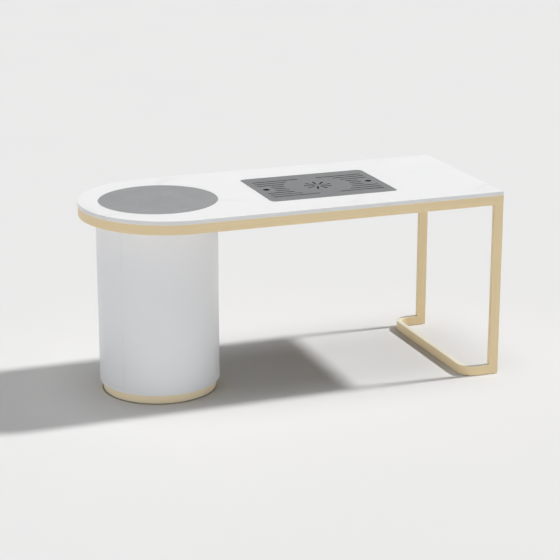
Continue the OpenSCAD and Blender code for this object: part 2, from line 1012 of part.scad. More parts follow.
stone_top();
disc_inlay();
substrate_board();
front_rail();
rear_rail();
end_rail();
bow_rail();
cross_rail(0);  // cross_rail_1
cross_rail(1);  // cross_rail_2
cross_rail(2);  // cross_rail_3
cross_rail(3);  // cross_rail_4
front_leg();
rear_leg();
foot_bar();
leg_bolts();
board_screws();
floor_pads();
plinth_core();
plinth_band();
drum_base();
drum_shell();
drum_top();
hinge_post();
latch_post();
lower_shelf();
upper_shelf();
shelf_pins();
drum_screws();
drum_bolts();
drum_door();
lower_frame_leaf();
upper_frame_leaf();
lower_door_leaf();
upper_door_leaf();
hinge_pins();
frame_leaf_screws();
door_leaf_screws();
latch_body();
latch_plunger();
door_strike();
grille_plate();
plate_seal();
collector_tray();
filter_housing();
filter_drawer();
filter_media();
fan_frame();
fan_motor();
fan_rotor();
exhaust_guard();
fan_screws();
housing_screws();
control_box();
speed_control();
control_shaft();
control_knob();
power_inlet();
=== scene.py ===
"""Looks of the manicure table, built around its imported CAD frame. Metres, in the row frame."""

import json
import math

import bmesh
import bpy
import numpy as np
from mathutils import Matrix, Vector
from mathutils.geometry import delaunay_2d_cdt


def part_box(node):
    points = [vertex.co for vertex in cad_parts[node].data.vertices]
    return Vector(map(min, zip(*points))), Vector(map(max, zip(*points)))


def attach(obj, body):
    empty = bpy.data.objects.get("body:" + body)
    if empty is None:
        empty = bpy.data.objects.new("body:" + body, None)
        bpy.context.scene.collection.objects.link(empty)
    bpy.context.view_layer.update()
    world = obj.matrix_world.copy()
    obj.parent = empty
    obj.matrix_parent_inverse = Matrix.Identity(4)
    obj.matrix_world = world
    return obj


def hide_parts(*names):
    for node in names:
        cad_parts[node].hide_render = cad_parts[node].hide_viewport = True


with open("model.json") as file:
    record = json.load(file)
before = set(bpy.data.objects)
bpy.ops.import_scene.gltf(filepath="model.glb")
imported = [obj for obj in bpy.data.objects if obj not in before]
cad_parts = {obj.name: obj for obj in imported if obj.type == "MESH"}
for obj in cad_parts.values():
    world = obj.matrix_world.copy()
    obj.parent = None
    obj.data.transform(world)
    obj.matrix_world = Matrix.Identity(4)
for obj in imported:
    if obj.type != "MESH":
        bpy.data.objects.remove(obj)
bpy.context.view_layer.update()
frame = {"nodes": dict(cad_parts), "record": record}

MM = 0.001
QUARTER = math.pi / 2
TABLE, DOOR, GRILLE = "table", "door", "grille"
NODE_SLOT = {part["node"]: part["material_slot"] for part in frame["record"]["subparts"]}


# ---------------------------------------------------------------- outlines
# An outline is a closed run of arcs joined by straight lines, with the material on its
# left. An arc is (centre x, centre y, radius, start, end) with angles in radians: it turns
# left where the material bulges and right where the material is hollowed.

ARC_TOL = 0.02 * MM  # farthest that a chord lies from its arc
LONGEST_STEP = math.radians(15)  # of an arc that is cut into chords
ARCS_TOUCH = 0.001 * MM  # two arcs whose ends are closer than this run on into each other
CORNERS = ((1, -1, -90), (1, 1, 0), (-1, 1, 90), (-1, -1, 180))  # x side, y side, first angle


def turn(cx, cy, r, start, end):
    """Arc with its angles given in degrees."""
    return (cx, cy, r, math.radians(start), math.radians(end))


def reverse(arcs):
    """The outline walked the other way, which makes it the outline of a hole."""
    return [(cx, cy, r, end, start) for cx, cy, r, start, end in reversed(arcs)]


def round_rect(cx, cy, l, w, r, hole=False):
    arcs = [turn(cx + sx * (l / 2 - r), cy + sy * (w / 2 - r), r, a, a + 90) for sx, sy, a in CORNERS]
    return reverse(arcs) if hole else arcs


def disc(cx, cy, r, hole=False):
    arcs = [turn(cx, cy, r, 0, 180), turn(cx, cy, r, 180, 360)]
    return reverse(arcs) if hole else arcs


def ring_sector(cx, cy, inner, outer, start, end, r):
    """Sector of a ring, between two angles in degrees, with its four corners rounded."""
    a0, a1 = math.radians(start), math.radians(end)
    far, near = math.asin(r / (outer - r)), math.asin(r / (inner + r))

    def at(radius, angle):
        return cx + radius * math.cos(angle), cy + radius * math.sin(angle)

    return [
        (*at(outer - r, a0 + far), r, a0 - QUARTER, a0 + far),
        (cx, cy, outer, a0 + far, a1 - far),
        (*at(outer - r, a1 - far), r, a1 - far, a1 + QUARTER),
        (*at(inner + r, a1 - near), r, a1 + QUARTER, a1 - near + math.pi),
        (cx, cy, inner, a1 - near, a0 + near),
        (*at(inner + r, a0 + near), r, a0 + near + math.pi, a0 + 3 * QUARTER),
    ]


def arc_steps(r, sweep):
    """Count of the chords that an arc is cut into."""
    fine = 2 * math.acos(max(0.0, 1 - ARC_TOL / max(r, 2 * ARC_TOL)))
    return max(1, math.ceil(abs(sweep) / min(fine, LONGEST_STEP)))


def meet(arc, beside, at_end):
    """Whether an arc's start or end is also the end or start of the arc beside it."""
    cx, cy, r, *angles = arc
    bx, by, q, *other = beside
    a, b = angles[at_end], other[1 - at_end]
    gap_x = cx + r * math.cos(a) - bx - q * math.cos(b)
    gap_y = cy + r * math.sin(a) - by - q * math.sin(b)
    return math.hypot(gap_x, gap_y) < ARCS_TOUCH


def outline_points(arcs, inset=0.0):
    """[(x, y, normal x, normal y)] of an outline set in by a distance.

    The count of points doesn't depend on the inset. The points of a corner that is set in
    past its own centre all meet, and an arc that touches such a corner ends there.
    """
    sides = [1 if end > start else -1 for *_, start, end in arcs]
    reaches = [arc[2] - side * inset for arc, side in zip(arcs, sides)]
    ends = [[arc[3], arc[4]] for arc in arcs]
    corners = [None] * len(arcs)
    for i, (cx, cy, r, start, end) in enumerate(arcs):
        if reaches[i] > 0:
            continue
        over = reaches[i] / math.cos((end - start) / 2)
        middle = (start + end) / 2
        corners[i] = (cx + over * math.cos(middle), cy + over * math.sin(middle))
        for beside, at_end in (((i + 1) % len(arcs), 0), (i - 1, 1)):
            if reaches[beside] > 0 and meet(arcs[beside], arcs[i], at_end):
                bx, by = arcs[beside][:2]
                reach = reaches[beside]
                a = math.atan2(corners[i][1] - by, corners[i][0] - bx)
                ends[beside][at_end] += math.remainder(a - ends[beside][at_end], 2 * math.pi)
                corners[i] = (bx + reach * math.cos(a), by + reach * math.sin(a))
    points = []
    for i, (cx, cy, r, start, end) in enumerate(arcs):
        steps = arc_steps(r, end - start)
        for k in range(steps + 1):
            a = start + (end - start) * k / steps
            nx, ny = sides[i] * math.cos(a), sides[i] * math.sin(a)
            a = ends[i][0] + (ends[i][1] - ends[i][0]) * k / steps
            place = corners[i] or (cx + reaches[i] * math.cos(a), cy + reaches[i] * math.sin(a))
            points.append((*place, nx, ny))
    return points


# ---------------------------------------------------------------- meshes

EDGE_STEPS = 4  # rows of faces across a rounded edge
FADE = 2.5 * MM  # how far an edge's mask fades out over the flat beside it
SAME_POINT = 1e-7  # vertices closer than this are one
NO_AREA = 1e-13  # twice the area of a triangle that is left out
HULL_TRIANGLES = 0  # kind of result of delaunay_2d_cdt: triangles that fill the convex hull
SCREW_CREASE = math.radians(35)
SCREW_SIDES = 36
LOBE_MIDDLE, LOBE_DEPTH = 0.86, 0.14  # shares of a six-lobed socket's radius
STEPS_IN_METRE = 1e5  # vertices of a CAD node are matched in steps of 0.01 mm


def finish_mesh(bm, name, material, body, nodes, normals=None):
    """Turns bm into a piece that rides on a body and stands for its CAD nodes.

    normals is the layer that keeps a normal for each vertex. Without it, the piece is smooth
    but for its sharp edges.
    """
    if normals is not None:
        bmesh.ops.remove_doubles(bm, verts=bm.verts, dist=SAME_POINT)
    mesh = bpy.data.meshes.new(name)
    bm.to_mesh(mesh)
    mesh.shade_smooth()
    if normals is not None:
        mesh.normals_split_custom_set_from_vertices([tuple(v[normals]) for v in bm.verts])
    else:
        mesh.set_sharp_from_angle(angle=SCREW_CREASE)
    bm.free()
    mesh.materials.append(material)
    piece = bpy.data.objects.new(name, mesh)
    bpy.context.scene.collection.objects.link(piece)
    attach(piece, body)
    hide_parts(*nodes)
    return piece


def edge_profile(z0, z1, top, bottom, fade):
    """Rows of points from the lower face of an upright solid to its upper face.

    A row is (inset, height, outward part of the normal, upward part, edge mask, distance
    along the surface). top and bottom are the radii of the rounded edges.
    """
    rows = [(bottom + fade, z0, 0.0, -1.0, 0.0, -fade)]
    for k in range(EDGE_STEPS + 1):
        a = QUARTER * (k / EDGE_STEPS - 1)
        out, up = math.cos(a), math.sin(a)
        run = bottom * QUARTER * k / EDGE_STEPS
        rows.append((bottom * (1 - out), z0 + bottom * (1 + up), out, up, 1.0, run))
    wall = z1 - top - z0 - bottom
    flat = min(fade, wall / 3)
    rows.append((0.0, z0 + bottom + flat, 1.0, 0.0, 0.0, run + flat))
    rows.append((0.0, z1 - top - flat, 1.0, 0.0, 0.0, run + wall - flat))
    for k in range(EDGE_STEPS + 1):
        a = QUARTER * k / EDGE_STEPS
        out, up = math.cos(a), math.sin(a)
        over = run + wall + top * a
        rows.append((top * (1 - out), z1 - top * (1 - up), out, up, 1.0, over))
    rows.append((top + fade, z1, 0.0, 1.0, 0.0, over + fade))
    return rows


def cap_triangles(rings):
    """Triangles, seen from above, between an outer ring of vertices and the rings of its holes."""
    pool, edges = [], []
    for ring in rings:
        first = len(pool)
        pool += ring
        edges += [(first + k, first + (k + 1) % len(ring)) for k in range(len(ring))]
    plan = [v.co.xy for v in pool]
    flat, _, faces, origins, _, _ = delaunay_2d_cdt(plan, edges, [], HULL_TRIANGLES, SAME_POINT)
    walls = np.array([(*pool[a].co.xy, *pool[b].co.xy) for a, b in edges])
    x0, y0, x1, y1 = walls.T
    found = []
    for face in faces:
        a, b, c = (flat[i] for i in face)
        if abs((b - a).cross(c - a)) < NO_AREA:
            continue
        px, py = (a + b + c) / 3
        crosses = (y0 > py) != (y1 > py)
        slope = np.divide(x1 - x0, y1 - y0, out=np.zeros_like(x0), where=crosses)
        if np.count_nonzero(crosses & (px < x0 + (py - y0) * slope)) % 2:
            corners = [pool[origins[i][0]] for i in face]
            found.append(corners if (b - a).cross(c - a) > 0 else corners[::-1])
    return found


def prism(
    name, outlines, z0, z1, material, body, nodes, top, bottom, grain="around", face_uv=None, fade=FADE
):
    """Upright solid over outlines, with rounded upper and lower edges and exact normals.

    It carries a mask of its edges and a map in metres along its surface. The map's first axis
    runs around the walls, or up them where grain is "up", and face_uv maps the level faces.
    """
    face_uv = face_uv or (lambda x, y: (x, y))
    bm = bmesh.new()
    keep = bm.verts.layers.float_vector.new("normal_kept")
    edge = bm.verts.layers.float.new("edge")
    uv = bm.loops.layers.uv.new("UVMap")
    rows = edge_profile(z0, z1, top, bottom, fade)
    risen = [along for *_, along in rows]
    caps = {0: [], len(rows) - 1: []}
    for arcs in outlines:
        rings = []
        for i, (inset, z, out, up, mask, _) in enumerate(rows):
            ring = []
            for x, y, nx, ny in outline_points(arcs, inset):
                v = bm.verts.new((x, y, z))
                v[keep] = Vector((nx * out, ny * out, up))
                v[edge] = mask
                ring.append(v)
            rings.append(ring)
            if i in caps:
                caps[i].append(ring)
        plain = outline_points(arcs)
        count = len(plain)
        walked = [0.0]
        for k in range(count):
            x0, y0 = plain[k][:2]
            x1, y1 = plain[(k + 1) % count][:2]
            walked.append(walked[-1] + math.hypot(x1 - x0, y1 - y0))
        for i in range(len(rows) - 1):
            for k in range(count):
                m = (k + 1) % count
                face = bm.faces.new((rings[i][k], rings[i][m], rings[i + 1][m], rings[i + 1][k]))
                for loop, (s, t) in zip(face.loops, ((k, i), (k + 1, i), (k + 1, i + 1), (k, i + 1))):
                    pair = (walked[s], risen[t])
                    loop[uv].uv = pair if grain == "around" else pair[::-1]
    for i, rings in caps.items():
        for corners in cap_triangles(rings):
            face = bm.faces.new(corners if i > 0 else corners[::-1])
            for loop in face.loops:
                loop[uv].uv = face_uv(*loop.vert.co.xy)
    return finish_mesh(bm, name, material, body, nodes, normals=keep)


def islands(node):
    """Boxes of the separate solids of a CAD node, each (lowest corner, highest corner)."""
    mesh = frame["nodes"][node].data
    co = np.array([v.co for v in mesh.vertices])
    places = np.round(co * STEPS_IN_METRE).astype(np.int64)
    keys, inverse = np.unique(places, axis=0, return_inverse=True)
    parent = list(range(len(keys)))

    def root(i):
        while parent[i] != i:
            parent[i] = parent[parent[i]]
            i = parent[i]
        return i

    inverse = inverse.reshape(-1)
    for poly in mesh.polygons:
        first = root(inverse[poly.vertices[0]])
        for v in poly.vertices[1:]:
            parent[root(inverse[v])] = first
    groups = {}
    for i, p in zip(inverse, co):
        groups.setdefault(root(i), []).append(p)
    boxes = [(Vector(np.min(g, 0)), Vector(np.max(g, 0))) for g in groups.values()]
    return sorted(boxes, key=lambda b: tuple(round(c, 4) for c in b[0]))


def spin_rings(bm, rows, place):
    """Joins rings of (radius or function of an angle, height) about an axis, and closes both ends."""
    rings = []
    for radius, z in rows:
        ring = []
        for k in range(SCREW_SIDES):
            a = 2 * math.pi * k / SCREW_SIDES
            r = radius(a) if callable(radius) else radius
            ring.append(bm.verts.new(place @ Vector((r * math.cos(a), r * math.sin(a), z))))
        rings.append(ring)
    for low, high in zip(rings, rings[1:]):
        for k in range(SCREW_SIDES):
            m = (k + 1) % SCREW_SIDES
            bm.faces.new((low[k], low[m], high[m], high[k]))
    bm.faces.new(list(reversed(rings[0])))
    bm.faces.new(rings[-1])


def hexagon(across):
    """Radius of a hexagonal socket at an angle."""

    def radius(a):
        off = (a + math.pi / 6) % (math.pi / 3) - math.pi / 6
        return across / 2 / math.cos(off)

    return radius


def lobes(r):
    """Radius of a six-lobed driver socket at an angle."""
    return lambda a: r * (LOBE_MIDDLE + LOBE_DEPTH * math.cos(6 * a))


TIP_R, TIP_END_R, TIP_LENGTH = 0.35, 0.86, 0.7  # shares of the shank's radius
PITCH, THREAD_ROOT = 0.55, 0.84  # shares of the shank's radius
LEAST_PITCH = 0.6 * MM
PLAIN_SHANK, NECK = 1.5 * MM, 0.4 * MM  # unthreaded length, and its last part under the head
HEAD_BREAK_R, HEAD_BREAK = 0.15 * MM, 0.2 * MM  # chamfer under the head
CROWN, MOST_CROWN, CROWN_STEPS = 0.35, 0.8 * MM, 3  # rounding of the rim: share of the head, most


def fastener_rows(shank, length, head, head_h, socket, depth):
    """Profile of a screw whose axis runs up from its tip at 0 to the top of its head."""
    pitch = max(shank * PITCH, LEAST_PITCH)
    z = shank * TIP_LENGTH
    rows = [(shank * TIP_R, 0.0), (shank * TIP_END_R, z)]
    while z + pitch < length - PLAIN_SHANK:
        rows += [(shank, z + pitch / 2), (shank * THREAD_ROOT, z + pitch)]
        z += pitch
    rows += [(shank, length - NECK), (shank, length)]
    rows += [(head - HEAD_BREAK_R, length), (head, length + HEAD_BREAK)]
    top = length + head_h
    soft = min(CROWN * head_h, MOST_CROWN)
    for k in range(CROWN_STEPS + 1):
        a = QUARTER * k / CROWN_STEPS
        rows.append((head - soft * (1 - math.cos(a)), top - soft * (1 - math.sin(a))))
    rows += [(socket, top), (socket, top - depth)]
    return rows


def fasteners(node, heads_down, shank, head, head_h, socket, depth):
    """Threaded screws in the places of a CAD node's own upright screws.

    shank and head are radii, and socket is the radius of the driver socket at an angle.
    """
    bm = bmesh.new()
    for lo, hi in islands(node):
        mid = (lo + hi) / 2
        length = (hi - lo).z
        if heads_down:
            place = Matrix.Translation((mid.x, mid.y, hi.z)) @ Matrix.Rotation(math.pi, 4, "X")
        else:
            place = Matrix.Translation((mid.x, mid.y, lo.z))
        spin_rings(bm, fastener_rows(shank, length - head_h, head, head_h, socket, depth), place)
    return finish_mesh(bm, node + "_threaded", zinc, TABLE, [node])


# ---------------------------------------------------------------- material nodes

UNIT = (0.0, 1.0)
SPREAD = (0.3, 0.7)  # where nearly all the values of a noise lie
NARROW = (0.35, 0.65)  # the same for a noise of fine lines
MIX_FACTOR, MIX_A, MIX_B, MIX_OUT = 0, 6, 7, 2  # places of the colour sockets of a Mix node


class Shader:
    """A material's node tree, with short calls for the nodes used below."""

    def __init__(self, name):
        self.material = bpy.data.materials.new(name)
        self.material.use_nodes = True
        self.tree = self.material.node_tree
        self.tree.nodes.clear()
        coords = self.add("ShaderNodeTexCoord")
        self.place, self.along = coords.outputs["Object"], coords.outputs["UV"]

    def add(self, kind, ins=None, **props):
        """New node with its properties set, and its inputs linked or set."""
        made = self.tree.nodes.new(kind)
        for key, value in props.items():
            setattr(made, key, value)
        for key, value in (ins or {}).items():
            if isinstance(value, bpy.types.NodeSocket):
                self.tree.links.new(value, made.inputs[key])
            else:
                made.inputs[key].default_value = value
        return made

    def stretch(self, vector, scale, turned=(0, 0, 0)):
        ins = {"Vector": vector, "Scale": scale, "Rotation": turned}
        return self.add("ShaderNodeMapping", ins).outputs[0]

    def noise(self, vector, scale=1.0, detail=3.0, rough=0.5, distortion=0.0, colour=False):
        ins = {"Vector": vector, "Scale": scale, "Detail": detail}
        ins.update({"Roughness": rough, "Distortion": distortion})
        return self.add("ShaderNodeTexNoise", ins).outputs["Color" if colour else "Fac"]

    def cells(self, vector, scale, out="Distance"):
        return self.add("ShaderNodeTexVoronoi", {"Vector": vector, "Scale": scale}).outputs[out]

    def remap(self, value, over, onto, smooth=False):
        """value brought from one range onto another, and clamped to it."""
        ins = {"Value": value, "From Min": over[0], "From Max": over[1]}
        ins.update({"To Min": onto[0], "To Max": onto[1]})
        kind = "SMOOTHSTEP" if smooth else "LINEAR"
        return self.add("ShaderNodeMapRange", ins, interpolation_type=kind).outputs[0]

    def math(self, operation, a, b=0.0):
        return self.add("ShaderNodeMath", {0: a, 1: b}, operation=operation).outputs[0]

    def plus(self, a, b):
        return self.math("ADD", a, b)

    def times(self, a, b):
        return self.math("MULTIPLY", a, b)

    def vector_math(self, operation, ins):
        return self.add("ShaderNodeVectorMath", ins, operation=operation).outputs[0]

    def shift(self, vector, offset, amount):
        """vector moved by a colour noise, centred."""
        centred = self.vector_math("SUBTRACT", {0: offset, 1: (0.5, 0.5, 0.5)})
        scaled = self.vector_math("SCALE", {0: centred, "Scale": amount})
        return self.vector_math("ADD", {0: vector, 1: scaled})

    def mix(self, factor, a, b, blend="MIX"):
        """Colour a, with b laid over it where factor is 1."""
        made = self.add("ShaderNodeMix", data_type="RGBA", blend_type=blend)
        for index, value in ((MIX_FACTOR, factor), (MIX_A, a), (MIX_B, b)):
            if isinstance(value, bpy.types.NodeSocket):
                self.tree.links.new(value, made.inputs[index])
            else:
                made.inputs[index].default_value = (*value, 1.0)
        return made.outputs[MIX_OUT]

    def axes(self, vector):
        return self.add("ShaderNodeSeparateXYZ", {0: vector}).outputs

    def upward(self):
        """Upward part of the surface's normal."""
        return self.axes(self.add("ShaderNodeNewGeometry").outputs["Normal"])[2]

    def upright(self):
        """1 on upright walls, falling to 0 on level faces."""
        return self.remap(self.math("ABSOLUTE", self.upward()), (0.75, 0.25), UNIT, smooth=True)

    def vein(self, value, width):
        """1 along the line where a noise crosses its middle, falling to 0 at a width."""
        away = self.math("ABSOLUTE", self.math("SUBTRACT", value, 0.5))
        return self.remap(away, (0.0, width), (1.0, 0.0), smooth=True)

    def edge(self):
        """Mask of the rounded edges broken by a noise: worn edges, and in the lacquer a painted highlight.
        """
        mask = self.add("ShaderNodeAttribute", attribute_name="edge").outputs["Fac"]
        broken = self.noise(self.place, scale=55.0, detail=4.0, rough=0.6)
        worn = self.remap(mask, (0.25, 0.9), UNIT, smooth=True)
        return self.times(worn, self.remap(broken, (0.35, 0.7), (0.25, 1.0)))

    def bump(self, height, distance, strength):
        ins = {"Height": height, "Distance": distance, "Strength": strength}
        return self.add("ShaderNodeBump", ins).outputs[0]

    def surface(self, colour, roughness, normal=None, **fixed):
        """Finishes the material. fixed sets the shader's own sockets by name."""
        ins = {"Base Color": colour, "Roughness": roughness}
        if normal is not None:
            ins["Normal"] = normal
        shader = self.add("ShaderNodeBsdfPrincipled", ins)
        for key, value in fixed.items():
            shader.inputs[key.replace("_", " ").title().replace("Ior", "IOR")].default_value = value
        self.add("ShaderNodeOutputMaterial", {"Surface": shader.outputs[0]})
        return self.material


def white_stone():
    """Polished stone with faint veins, and a painted shade that darkens its upright sides."""
    s = Shader("white_stone")
    ground, bright_ground = (0.925, 0.927, 0.930), (0.945, 0.945, 0.945)
    fleck, vein_grey, painted_side_shade = (0.70, 0.70, 0.70), (0.46, 0.47, 0.49), (0.85, 0.85, 0.85)
    slanted = s.stretch(s.place, (1.0, 1.9, 1.9), (0, 0, math.radians(-28)))
    bends = s.noise(slanted, scale=1.7, detail=2.0, rough=0.45, colour=True)
    path = s.noise(s.shift(slanted, bends, amount=0.5), scale=1.3, detail=1.0, rough=0.4)
    strong = s.remap(s.noise(s.place, scale=2.1, detail=2.0), (0.42, 0.62), UNIT, smooth=True)
    halo = s.times(s.vein(path, width=0.07), s.remap(strong, UNIT, (0.01, 0.05)))
    core = s.times(s.vein(path, width=0.014), s.remap(strong, UNIT, (0.02, 0.14)))
    cloud = s.remap(s.noise(s.place, scale=2.8, detail=4.0), SPREAD, UNIT)
    crystal = s.noise(s.place, scale=240.0, detail=2.0)
    colour = s.mix(cloud, ground, bright_ground)
    colour = s.mix(s.remap(crystal, (0.4, 0.7), (0.0, 0.012)), colour, fleck)
    colour = s.mix(s.plus(halo, core), colour, vein_grey)
    # Painted shade: all upright sides are multiplied darker.
    colour = s.mix(s.upright(), colour, painted_side_shade, "MULTIPLY")
    rough = s.remap(s.noise(s.place, scale=5.0, detail=1.0), SPREAD, (0.29, 0.32))
    return s.surface(colour, rough, s.bump(crystal, distance=0.004 * MM, strength=0.15), ior=1.5)


def grey_stone():
    """Satin stone with pale and dark grains."""
    s = Shader("grey_stone")
    dark, light = (0.305, 0.309, 0.316), (0.352, 0.356, 0.364)
    pale_grain, dark_grain, worn = (0.47, 0.475, 0.485), (0.20, 0.204, 0.21), (0.44, 0.445, 0.45)
    grain = s.noise(s.place, scale=1100.0, detail=2.0, rough=0.7)
    drift = s.shift(s.place, s.noise(s.place, scale=5.0, colour=True), amount=0.06)
    cloud = s.noise(drift, scale=9.0, detail=5.0, rough=0.62)
    colour = s.mix(s.remap(cloud, SPREAD, UNIT), dark, light)
    colour = s.mix(s.remap(grain, (0.58, 0.72), (0.0, 0.5), smooth=True), colour, pale_grain)
    colour = s.mix(s.remap(grain, (0.42, 0.3), (0.0, 0.45), smooth=True), colour, dark_grain)
    colour = s.mix(s.times(s.edge(), 0.25), colour, worn)
    patches = s.noise(s.place, scale=46.0, detail=5.0, rough=0.65)
    rough = s.plus(s.remap(patches, SPREAD, (0.40, 0.52)), s.times(grain, 0.05))
    return s.surface(colour, rough, s.bump(grain, distance=0.02 * MM, strength=0.4), ior=1.5)


def brushed(name, low, high, worn, rough_range, metallic, mapped=True, cut=None, top=None, **coat):
    """Metal brushed along its surface map's first axis or, where it has no map, along Y.

    The colour given for walls is a near-black painted shade laid on all its upright walls, those of its
    openings among them, and the colour given for tops is a painted highlight on its upper faces.
    """
    s = Shader(name)
    along = s.along if mapped else s.stretch(s.place, (1.0, 1.0, 1.0), (0, 0, QUARTER))
    bent = s.shift(along, s.noise(along, scale=9.0, detail=2.0, colour=True), amount=0.0012)
    fine = s.noise(s.stretch(bent, (2.2, 950.0, 950.0)), rough=0.6)
    broad = s.noise(s.stretch(bent, (1.0, 124.0, 124.0)), rough=0.6)
    lines = s.plus(s.times(fine, 0.6), s.times(broad, 0.4))
    smudge = s.noise(s.place, scale=11.0, detail=5.0, rough=0.65, distortion=0.4)
    worn_part = s.edge()
    colour = s.mix(s.remap(lines, (0.36, 0.64), UNIT), low, high)
    colour = s.mix(s.remap(smudge, (0.45, 0.75), (0.0, 0.12)), colour, low)
    colour = s.mix(s.times(worn_part, 0.55), colour, worn)
    # Painted highlight: upward faces lightened towards the colour given for tops.
    if top is not None:
        colour = s.mix(s.remap(s.upward(), (0.5, 0.9), UNIT, smooth=True), colour, top)
    # Painted shade: upright walls turned near black, standing in for the shade inside the openings.
    if cut is not None:
        colour = s.mix(s.upright(), colour, cut)
    rough = s.plus(s.remap(lines, NARROW, rough_range), s.remap(smudge, (0.4, 0.75), (-0.02, 0.06)))
    rough = s.math("SUBTRACT", rough, s.times(worn_part, 0.06))
    normal = s.bump(lines, distance=0.012 * MM, strength=0.5)
    return s.surface(colour, rough, normal, metallic=metallic, **coat)


def zinc_plate():
    """Bright zinc plating with small crystals and a yellow tint in places."""
    s = Shader("zinc_steel")
    dark, light, yellowed = (0.50, 0.51, 0.53), (0.63, 0.64, 0.65), (0.66, 0.63, 0.54)
    ragged = s.shift(s.place, s.noise(s.place, scale=300.0, detail=2.0, colour=True), amount=0.002)
    colour = s.mix(s.cells(ragged, scale=420.0, out="Color"), dark, light)
    tint = s.remap(s.noise(s.place, scale=45.0), (0.5, 0.75), (0.0, 0.3))
    colour = s.mix(tint, colour, yellowed)
    rough = s.remap(s.noise(s.place, scale=260.0, detail=4.0, rough=0.6), SPREAD, (0.26, 0.42))
    normal = s.bump(s.noise(s.place, scale=1400.0, detail=2.0), distance=0.02 * MM, strength=0.4)
    return s.surface(colour, rough, normal, metallic=1.0)


def lacquer():
    """Sprayed satin lacquer, with a fine orange peel and a little dust."""
    s = Shader("white_lacquer")
    cool, warm = (0.842, 0.848, 0.868), (0.868, 0.872, 0.886)
    dusty, worn = (0.74, 0.735, 0.72), (0.93, 0.93, 0.93)
    peel = s.noise(s.place, scale=420.0, detail=2.0)
    drift = s.remap(s.noise(s.place, scale=3.2), SPREAD, UNIT)
    dust = s.remap(s.noise(s.place, scale=130.0, detail=5.0, rough=0.7), (0.60, 0.78), (0.0, 0.10))
    colour = s.mix(drift, cool, warm)
    colour = s.mix(dust, colour, dusty)
    # Rounded edges a little lighter: a painted highlight.
    colour = s.mix(s.times(s.edge(), 0.20), colour, worn)
    patches = s.remap(s.noise(s.place, scale=24.0, detail=4.0, rough=0.6), SPREAD, (0.30, 0.40))
    rough = s.plus(patches, s.times(dust, 1.2))
    normal = s.bump(peel, distance=0.05 * MM, strength=0.30)
    return s.surface(colour, rough, normal, ior=1.48, coat_weight=0.15, coat_roughness=0.25)


def plywood():
    """Birch ply: veneer with rings and fibres on its faces, and its layers on its edges."""
    s = Shader("plywood")
    ply = 2.8 * MM
    early, late, fibre_dark = (0.34, 0.29, 0.23), (0.46, 0.41, 0.34), (0.28, 0.23, 0.17)
    edge_light, edge_dark, pore = (0.50, 0.43, 0.33), (0.32, 0.25, 0.18), (0.30, 0.20, 0.11)
    warped = s.shift(s.place, s.noise(s.place, scale=2.6, colour=True), amount=0.05)
    rings = s.noise(s.stretch(warped, (1.1, 22.0, 22.0)), detail=4.0, rough=0.6, distortion=1.2)
    fibre = s.noise(s.stretch(s.place, (18.0, 900.0, 900.0)), rough=0.7)
    face = s.mix(s.remap(rings, (0.32, 0.68), UNIT, smooth=True), early, late)
    face = s.mix(s.remap(fibre, (0.35, 0.7), (0.0, 0.35)), face, fibre_dark)
    layer = s.math("FRACT", s.times(s.axes(s.place)[2], 1 / ply))
    dark = s.remap(s.math("PINGPONG", layer, 0.5), (0.22, 0.28), UNIT, smooth=True)
    pores = s.noise(s.stretch(s.place, (900.0, 900.0, 60.0)), detail=2.0)
    end = s.mix(dark, edge_light, edge_dark)
    end = s.mix(s.remap(pores, (0.4, 0.7), (0.0, 0.3)), end, pore)
    level = s.remap(s.math("ABSOLUTE", s.upward()), (0.45, 0.6), UNIT)
    colour = s.mix(level, end, face)
    rough = s.remap(fibre, SPREAD, (0.55, 0.78))
    return s.surface(colour, rough, s.bump(fibre, distance=0.08 * MM, strength=0.5), ior=1.45)


def plastic(name, dark, light, rough_range, grain, depth):
    """Moulded plastic, rubber or powder coat: a fine pebbled skin with a little dust."""
    s = Shader(name)
    dusty, worn = (0.20, 0.19, 0.18), tuple(min(1.0, 2.2 * c) for c in light)
    uneven = s.noise(s.place, scale=grain * 0.5, detail=2.0, colour=True)
    pebble = s.cells(s.shift(s.place, uneven, amount=0.6 / grain), scale=grain)
    mottle = s.noise(s.place, scale=30.0, detail=4.0, rough=0.6)
    dust = s.remap(s.noise(s.place, scale=90.0, detail=5.0, rough=0.7), (0.58, 0.8), (0.0, 0.16))
    colour = s.mix(s.remap(mottle, SPREAD, UNIT), dark, light)
    colour = s.mix(dust, colour, dusty)
    colour = s.mix(s.times(s.edge(), 0.35), colour, worn)
    rough = s.plus(s.remap(mottle, SPREAD, rough_range), dust)
    return s.surface(colour, rough, s.bump(pebble, distance=depth, strength=0.6), ior=1.47)


def pleated_paper():
    """Filter paper of matted fibres, stained in places."""
    s = Shader("filter_paper")
    dark, light, stained = (0.70, 0.69, 0.63), (0.86, 0.85, 0.80), (0.50, 0.46, 0.38)
    matted = s.shift(s.place, s.noise(s.place, scale=160.0, colour=True), amount=0.01)
    fibre = s.noise(matted, scale=1300.0, detail=4.0, rough=0.7, distortion=1.5)
    stain = s.noise(s.place, scale=14.0, detail=5.0, rough=0.7)
    colour = s.mix(s.remap(fibre, SPREAD, UNIT), dark, light)
    colour = s.mix(s.remap(stain, (0.45, 0.75), (0.0, 0.22)), colour, stained)
    rough = s.remap(fibre, SPREAD, (0.88, 1.0))
    return s.surface(colour, rough, s.bump(fibre, distance=0.12 * MM, strength=0.7), ior=1.4)


